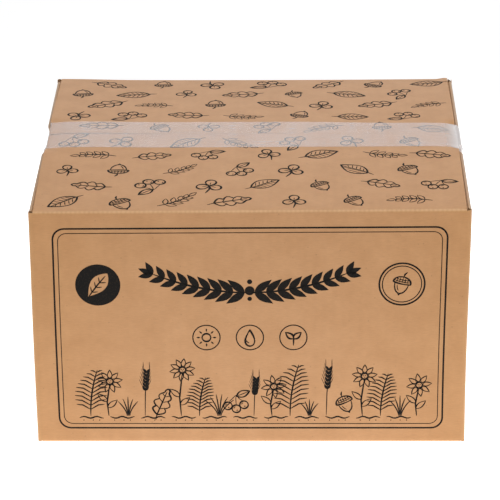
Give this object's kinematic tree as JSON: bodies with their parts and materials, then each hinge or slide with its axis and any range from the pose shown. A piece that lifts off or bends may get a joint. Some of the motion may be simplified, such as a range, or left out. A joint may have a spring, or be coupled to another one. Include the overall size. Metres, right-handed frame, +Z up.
{
  "type": "closed corrugated carton of a mushroom grow kit",
  "caption": "Closed kraft corrugated carton, wider than it is tall, with overlapping flaps folded shut and sealed by packing tape along the top seam and the base seam.",
  "frame": {"origin": "centre of the base, on the plane that the carton stands on", "axes": "+X to the right along the long walls and the taped seam, -Y out of the front wall, +Z up"},
  "size_m": [0.3012, 0.258, 0.183],
  "materials": {
    "kraft_board": "uncoated brown kraft liner, flexo printed in black",
    "packing_tape": "frosted translucent polypropylene film, satin"
  },
  "bodies": {
    "root": {"carton": "kraft_board", "top_tape": "packing_tape", "base_tape": "packing_tape"}
  },
  "joints": []
}
